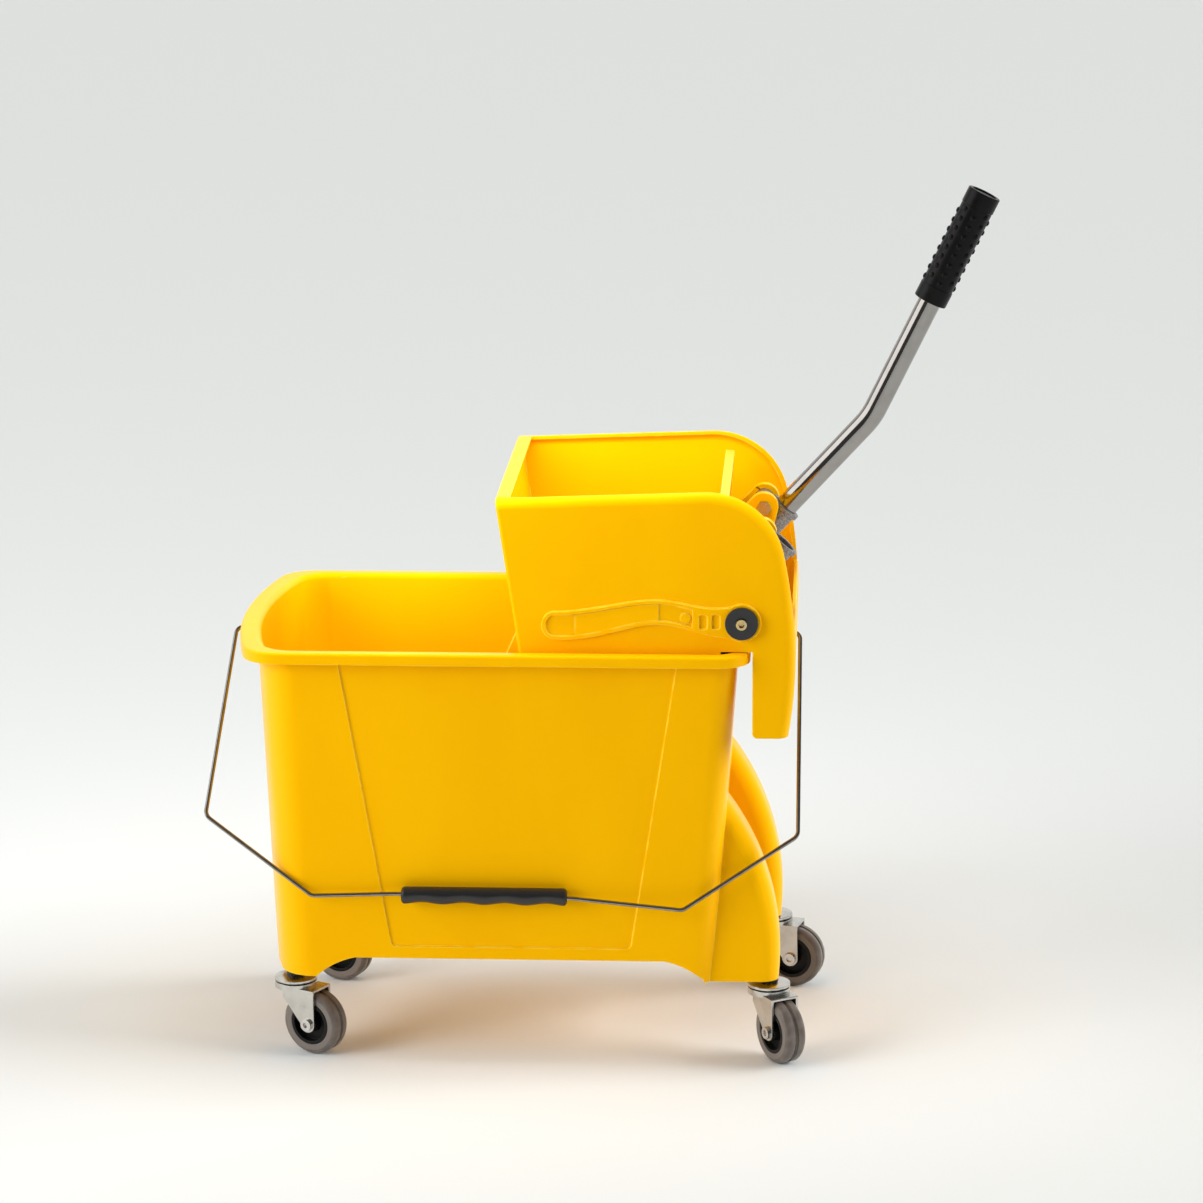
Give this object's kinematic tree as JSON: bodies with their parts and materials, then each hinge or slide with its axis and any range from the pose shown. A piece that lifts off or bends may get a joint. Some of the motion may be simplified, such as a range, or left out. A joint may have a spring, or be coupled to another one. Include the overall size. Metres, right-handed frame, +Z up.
{
  "type": "mop bucket with wringer",
  "caption": "Moulded mop bucket on swivel casters with a lift-off lever wringer, a bent handle with a rubber grip, and a wire carrying bail.",
  "frame": {"origin": "on the floor, midway between the four caster swivel axes", "axes": "+X towards the wringer and its handle, +Y towards the back long side, +Z up"},
  "size_m": [0.6088, 0.27, 0.6571],
  "materials": {
    "yellow_plastic": "semi-gloss moulded polypropylene",
    "black_plastic": "moulded",
    "black_hub": "moulded",
    "black_rubber": "matte with raised nubs",
    "grey_tyre": "soft grey tread",
    "chrome_tube": "bright plated",
    "cast_grey": "as cast",
    "plated_wire": "zinc plated wire",
    "plated_steel": "zinc plated",
    "zinc_plate": "pressed and zinc plated",
    "spring_steel": "drawn",
    "yellow_zinc": "yellow zinc plated"
  },
  "bodies": {
    "tub": {"bucket": "yellow_plastic", "stem_collars": "black_plastic", "caster_stem_front_left": "plated_steel", "caster_race_front_left": "zinc_plate", "caster_balls_front_left": "spring_steel", "caster_stem_front_right": "plated_steel", "caster_race_front_right": "zinc_plate", "caster_balls_front_right": "spring_steel", "caster_stem_back_left": "plated_steel", "caster_race_back_left": "zinc_plate", "caster_balls_back_left": "spring_steel", "caster_stem_back_right": "plated_steel", "caster_race_back_right": "zinc_plate", "caster_balls_back_right": "spring_steel"},
    "wringer": {"wringer_housing": "yellow_plastic", "pivot_shaft": "plated_steel", "pivot_washers": "black_plastic", "pivot_screws": "yellow_zinc", "pivot_spacers": "black_plastic", "return_springs": "spring_steel"},
    "press_lever": {"press_plate": "yellow_plastic", "handle_socket_near": "cast_grey", "handle_socket_far": "cast_grey", "socket_bolts": "plated_steel", "socket_nuts": "plated_steel", "handle_tube": "chrome_tube", "handle_grip": "black_rubber"},
    "bail": {"bail_wire": "plated_wire", "bail_grip": "black_plastic"},
    "caster_front_left": {"caster_fork_front_left": "zinc_plate", "caster_axle_front_left": "plated_steel"},
    "wheel_front_left": {"wheel_hub_front_left": "black_hub", "wheel_tyre_front_left": "grey_tyre"},
    "caster_front_right": {"caster_fork_front_right": "zinc_plate", "caster_axle_front_right": "plated_steel"},
    "wheel_front_right": {"wheel_hub_front_right": "black_hub", "wheel_tyre_front_right": "grey_tyre"},
    "caster_back_left": {"caster_fork_back_left": "zinc_plate", "caster_axle_back_left": "plated_steel"},
    "wheel_back_left": {"wheel_hub_back_left": "black_hub", "wheel_tyre_back_left": "grey_tyre"},
    "caster_back_right": {"caster_fork_back_right": "zinc_plate", "caster_axle_back_right": "plated_steel"},
    "wheel_back_right": {"wheel_hub_back_right": "black_hub", "wheel_tyre_back_right": "grey_tyre"}
  },
  "joints": [
    {"name": "wringer_lift", "type": "slide", "parent": "tub", "child": "wringer", "axis": [0, 0, 1], "range_m": [0, 0.04]},
    {"name": "press_turn", "type": "hinge", "parent": "wringer", "child": "press_lever", "pos_m": [0.1626, 0, 0.354], "axis": [0, 1, 0], "range_deg": [0, 30], "stiffness_Nm_per_rad": 2, "springref_deg": -34.38, "deforming": ["return_springs"]},
    {"name": "bail_swing", "type": "hinge", "parent": "tub", "child": "bail", "pos_m": [0, 0, 0.3166], "axis": [-1, 0, 0], "range_deg": [0, 146]},
    {"name": "swivel_front_left", "type": "hinge", "parent": "tub", "child": "caster_front_left", "pos_m": [-0.184, -0.086, 0.06], "axis": [0, 0, 1], "continuous": true},
    {"name": "roll_front_left", "type": "hinge", "parent": "caster_front_left", "child": "wheel_front_left", "pos_m": [-0.16811, -0.09445, 0.025], "axis": [0.4695, 0.8829, 0], "continuous": true},
    {"name": "swivel_front_right", "type": "hinge", "parent": "tub", "child": "caster_front_right", "pos_m": [0.184, -0.086, 0.06], "axis": [0, 0, 1], "continuous": true},
    {"name": "roll_front_right", "type": "hinge", "parent": "caster_front_right", "child": "wheel_front_right", "pos_m": [0.19354, -0.10126, 0.025], "axis": [0.848, 0.5299, 0], "continuous": true},
    {"name": "swivel_back_left", "type": "hinge", "parent": "tub", "child": "caster_back_left", "pos_m": [-0.184, 0.086, 0.06], "axis": [0, 0, 1], "continuous": true},
    {"name": "roll_back_left", "type": "hinge", "parent": "caster_back_left", "child": "wheel_back_left", "pos_m": [-0.16709, 0.07984, 0.025], "axis": [0.342, 0.9397, 0], "continuous": true},
    {"name": "swivel_back_right", "type": "hinge", "parent": "tub", "child": "caster_back_right", "pos_m": [0.184, 0.086, 0.06], "axis": [0, 0, 1], "continuous": true},
    {"name": "roll_back_right", "type": "hinge", "parent": "caster_back_right", "child": "wheel_back_right", "pos_m": [0.20147, 0.08164, 0.025], "axis": [0.2419, 0.9703, 0], "continuous": true}
  ]
}
